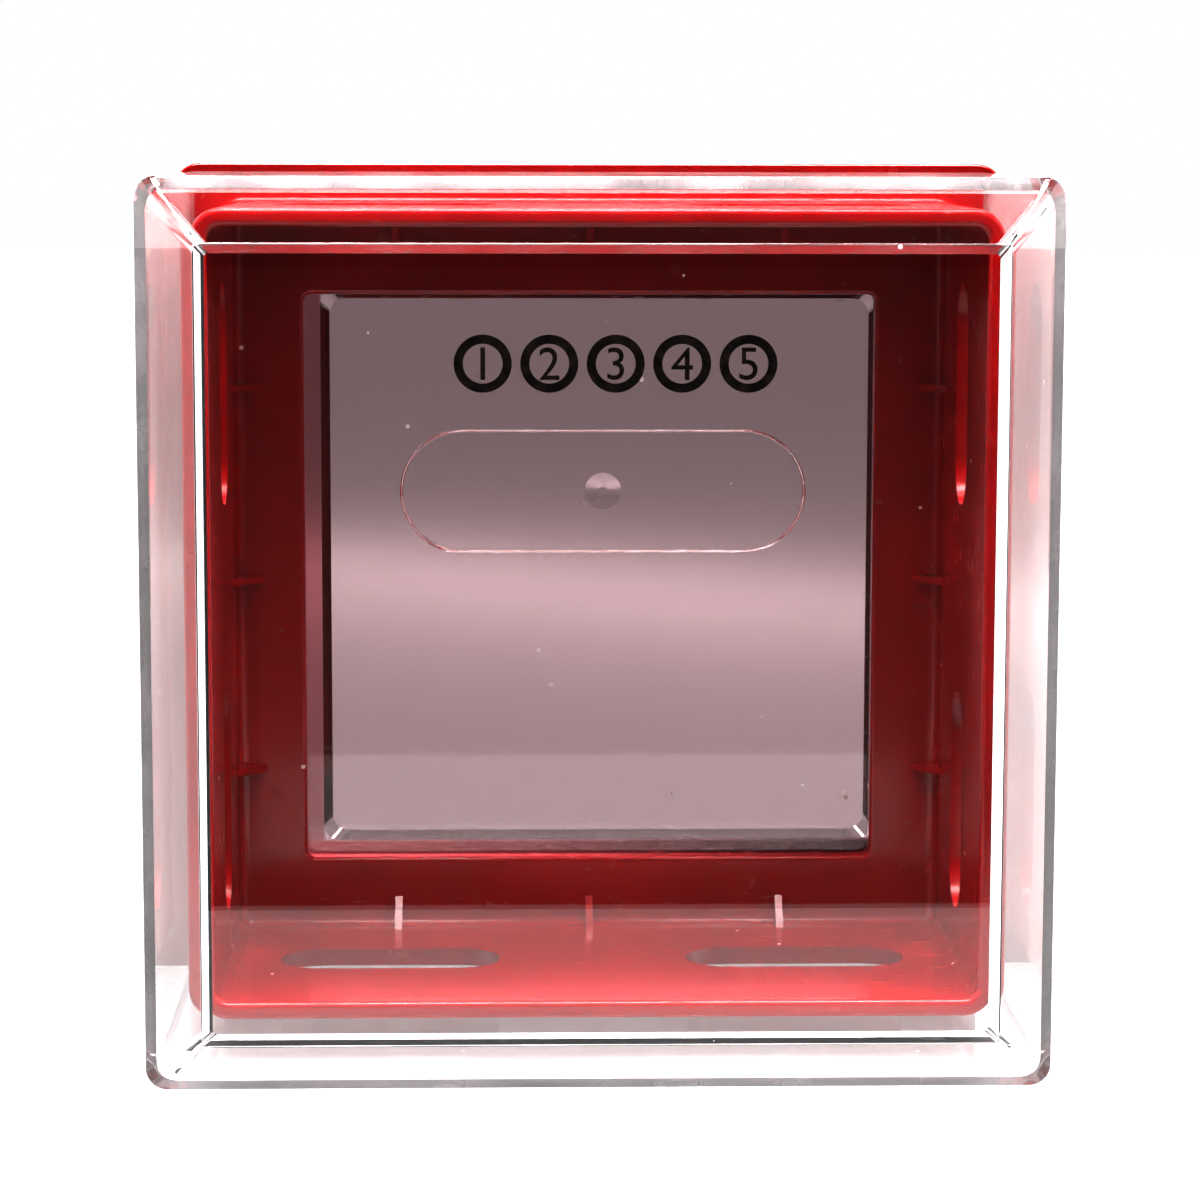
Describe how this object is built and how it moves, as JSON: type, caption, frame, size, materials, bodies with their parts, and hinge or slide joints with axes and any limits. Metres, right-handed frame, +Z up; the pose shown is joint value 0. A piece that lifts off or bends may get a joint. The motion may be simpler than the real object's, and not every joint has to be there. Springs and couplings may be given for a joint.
{
  "type": "ball box",
  "caption": "Square ball box with a red tray, a window in its floor, a clear stepped back panel and a clear bevelled pull-off cover.",
  "frame": {"origin": "middle of the footprint, on the surface that the box stands on", "axes": "+Z up, the front faces -Y, +X to the right of a person who faces the front"},
  "size_m": [0.101, 0.0654, 0.101],
  "materials": {
    "red_plastic": "glossy injection-moulded plastic",
    "clear_plastic": "clear polished plastic",
    "clear_panel": "clear polished plastic",
    "print_ink": "thin printed ink"
  },
  "bodies": {
    "tray": {"ball_tray": "red_plastic", "back_panel": "clear_panel"},
    "cover": {"clear_cover": "clear_plastic"}
  },
  "joints": [
    {"name": "cover_pull", "type": "slide", "parent": "tray", "child": "cover", "axis": [0, -1, 0], "range_m": [0, 0.06]}
  ]
}
